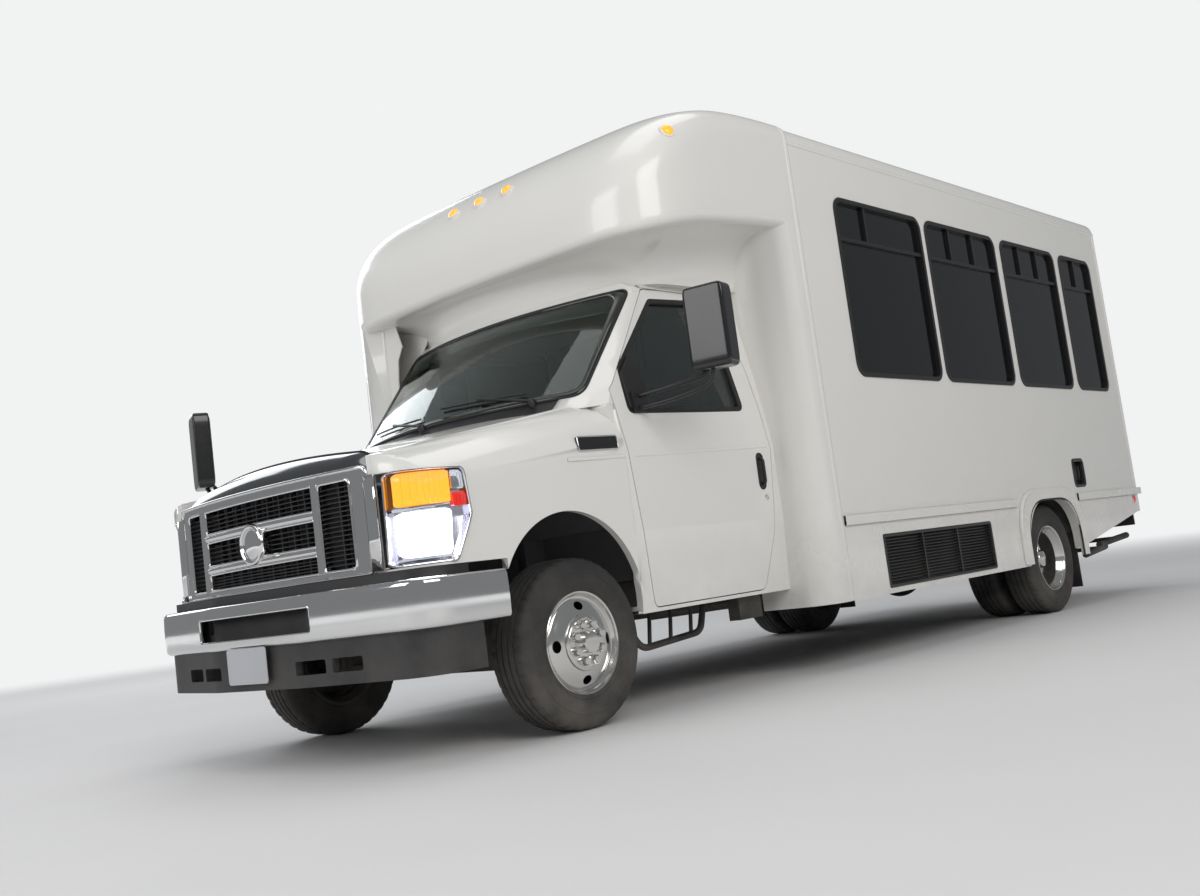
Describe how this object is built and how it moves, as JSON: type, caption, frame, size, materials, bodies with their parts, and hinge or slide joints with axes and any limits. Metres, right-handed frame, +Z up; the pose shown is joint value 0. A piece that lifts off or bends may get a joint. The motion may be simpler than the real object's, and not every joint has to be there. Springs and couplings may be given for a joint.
{
  "type": "cutaway shuttle minibus",
  "caption": "White cutaway shuttle minibus with chrome grille and bumper, rounded cap over the cab, dual rear wheels and dark side windows.",
  "frame": {"origin": "on the floor, midway along the overall length and width", "axes": "+X forward to the nose, +Y to the driver's side, +Z up"},
  "size_m": [7.32, 2.9928, 2.962],
  "materials": {
    "white_body": "gloss fibreglass and painted steel panels",
    "chrome": "bright plated trim",
    "wheel_steel": "polished stainless wheel liners",
    "tyre": "black tread rubber",
    "chassis": "black painted steel",
    "black_plastic": "grained black plastic",
    "black_frame": "black powder coat",
    "tinted_glass": "dark tinted safety glass",
    "clear_glass": "lightly tinted windshield glass",
    "lamp_clear": "clear lamp lens",
    "lamp_amber": "amber lens",
    "lamp_red": "red lens",
    "grey_floor": "grey floor covering",
    "seat_fabric": "dark woven seat cover",
    "plate": "blank plate",
    "rubber": "black rubber",
    "dash_plastic": "dark dashboard plastic"
  },
  "bodies": {
    "root": {"frame_rails": "chassis", "front_axle": "chassis", "rear_axle": "chassis", "engine": "chassis", "fuel_tank": "chassis", "exhaust": "chassis", "cab_shell": "white_body", "cab_floor": "grey_floor", "windshield": "clear_glass", "cowl": "black_plastic", "dashboard": "dash_plastic", "driver_seat": "seat_fabric", "grille_surround": "chrome", "grille_mesh": "black_plastic", "headlamps": "lamp_clear", "front_bumper": "chrome", "front_valance": "black_plastic", "plates": "plate", "front_cap": "white_body", "side_wall_left": "white_body", "side_wall_right": "white_body", "roof": "white_body", "rear_wall": "white_body", "floor": "grey_floor", "step_well": "grey_floor", "window_frames": "black_frame", "window_glass": "tinted_glass", "side_rails": "white_body", "wheel_flares": "white_body", "rear_bumper": "black_plastic", "tail_lamps": "lamp_red", "marker_lamps": "lamp_amber", "side_fittings": "black_frame", "passenger_seats": "seat_fabric", "mudflaps": "rubber", "mirror_right": "black_plastic"},
    "driver_door": {"driver_door": "white_body", "driver_glass": "tinted_glass", "mirror_left": "black_plastic"},
    "hood": {"hood": "white_body"},
    "entry_front": {"entry_leaf_front": "white_body", "entry_glass_front": "tinted_glass"},
    "entry_rear": {"entry_leaf_rear": "white_body", "entry_glass_rear": "tinted_glass"},
    "rear_door": {"rear_door": "white_body", "rear_glass": "tinted_glass"},
    "knuckle_left": {"knuckle_left": "chassis"},
    "knuckle_right": {"knuckle_right": "chassis"},
    "front_wheel_left": {"tyre_front_left": "tyre", "wheel_front_left": "wheel_steel"},
    "front_wheel_right": {"tyre_front_right": "tyre", "wheel_front_right": "wheel_steel"},
    "rear_wheels_left": {"tyres_rear_left": "tyre", "wheels_rear_left": "wheel_steel"},
    "rear_wheels_right": {"tyres_rear_right": "tyre", "wheels_rear_right": "wheel_steel"}
  },
  "joints": [
    {"name": "steer_left", "type": "hinge", "parent": "root", "child": "knuckle_left", "pos_m": [2.66, 0.7395, 0.368], "axis": [0, 0, 1], "range_deg": [-32, 32]},
    {"name": "steer_right", "type": "hinge", "parent": "root", "child": "knuckle_right", "pos_m": [2.66, -0.7395, 0.368], "axis": [0, 0, 1], "range_deg": [-32, 32]},
    {"name": "spin_front_left", "type": "hinge", "parent": "knuckle_left", "child": "front_wheel_left", "pos_m": [2.66, 0.8815, 0.368], "axis": [0, 1, 0], "continuous": true},
    {"name": "spin_front_right", "type": "hinge", "parent": "knuckle_right", "child": "front_wheel_right", "pos_m": [2.66, -0.8815, 0.368], "axis": [0, 1, 0], "continuous": true},
    {"name": "spin_rear_left", "type": "hinge", "parent": "root", "child": "rear_wheels_left", "pos_m": [-1.81, 1.078, 0.368], "axis": [0, 1, 0], "continuous": true},
    {"name": "spin_rear_right", "type": "hinge", "parent": "root", "child": "rear_wheels_right", "pos_m": [-1.81, -1.078, 0.368], "axis": [0, 1, 0], "continuous": true},
    {"name": "driver_door_hinge", "type": "hinge", "parent": "root", "child": "driver_door", "pos_m": [2.265, 1.003, 1.2], "axis": [0, 0, -1], "range_deg": [0, 65]},
    {"name": "hood_hinge", "type": "hinge", "parent": "root", "child": "hood", "pos_m": [2.555, 0, 1.44], "axis": [0, -1, 0], "range_deg": [0, 50]},
    {"name": "entry_front_hinge", "type": "hinge", "parent": "root", "child": "entry_front", "pos_m": [1.8725, -1.227, 1.2], "axis": [0, 0, 1], "range_deg": [0, 85]},
    {"name": "entry_rear_hinge", "type": "hinge", "parent": "root", "child": "entry_rear", "pos_m": [1.1075, -1.227, 1.2], "axis": [0, 0, -1], "range_deg": [0, 85]},
    {"name": "rear_door_hinge", "type": "hinge", "parent": "root", "child": "rear_door", "pos_m": [-3.528, -0.4025, 1.6], "axis": [0, 0, 1], "range_deg": [0, 110]}
  ],
  "couplings": [
    {"joint": "steer_right", "follows": "steer_left", "ratio": 1},
    {"joint": "entry_rear_hinge", "follows": "entry_front_hinge", "ratio": 1}
  ]
}
